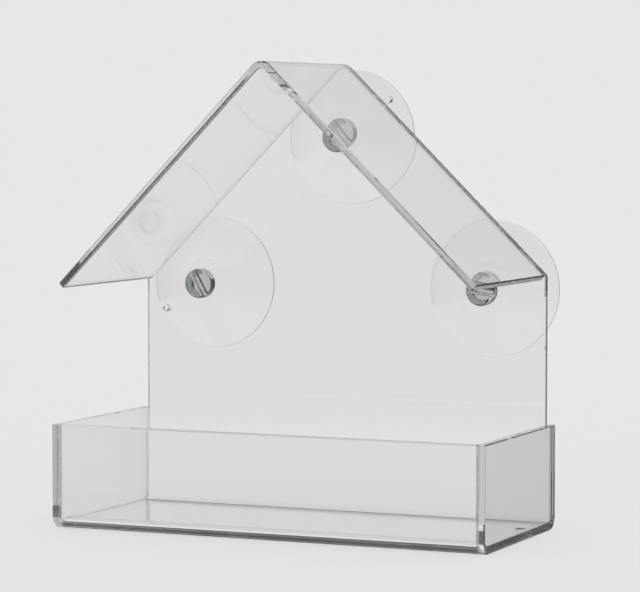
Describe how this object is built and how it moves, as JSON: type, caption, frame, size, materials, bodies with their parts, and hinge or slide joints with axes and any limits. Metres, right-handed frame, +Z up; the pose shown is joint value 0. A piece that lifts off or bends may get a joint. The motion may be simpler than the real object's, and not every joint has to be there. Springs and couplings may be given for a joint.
{
  "type": "window bird feeder",
  "caption": "Clear acrylic house-shaped bird feeder with an open seed tray and pitched roof, held to a window pane by suction cups with mushroom heads.",
  "frame": {"origin": "centre of the floor's underside, midway between the side walls and between the tray's front and the back panel's rear face", "axes": "+Z up, +X to the right seen from the front, -Y to the front where the birds feed, +Y to the window"},
  "size_m": [0.15, 0.073, 0.151],
  "materials": {
    "clear_acrylic": "polished",
    "clear_soft_pvc": "gloss"
  },
  "bodies": {
    "house": {"body_sheet": "clear_acrylic", "side_wall_left": "clear_acrylic", "side_wall_right": "clear_acrylic", "roof": "clear_acrylic"},
    "left_cup": {"suction_cup_left": "clear_soft_pvc"},
    "right_cup": {"suction_cup_right": "clear_soft_pvc"},
    "top_cup": {"suction_cup_top": "clear_soft_pvc"}
  },
  "joints": [
    {"name": "left_cup_spin", "type": "hinge", "parent": "house", "child": "left_cup", "pos_m": [-0.051, 0.0325, 0.07716], "axis": [0, 1, 0], "continuous": true},
    {"name": "right_cup_spin", "type": "hinge", "parent": "house", "child": "right_cup", "pos_m": [0.051, 0.0325, 0.07716], "axis": [0, 1, 0], "continuous": true},
    {"name": "top_cup_spin", "type": "hinge", "parent": "house", "child": "top_cup", "pos_m": [0, 0.0325, 0.1268], "axis": [0, 1, 0], "continuous": true}
  ]
}
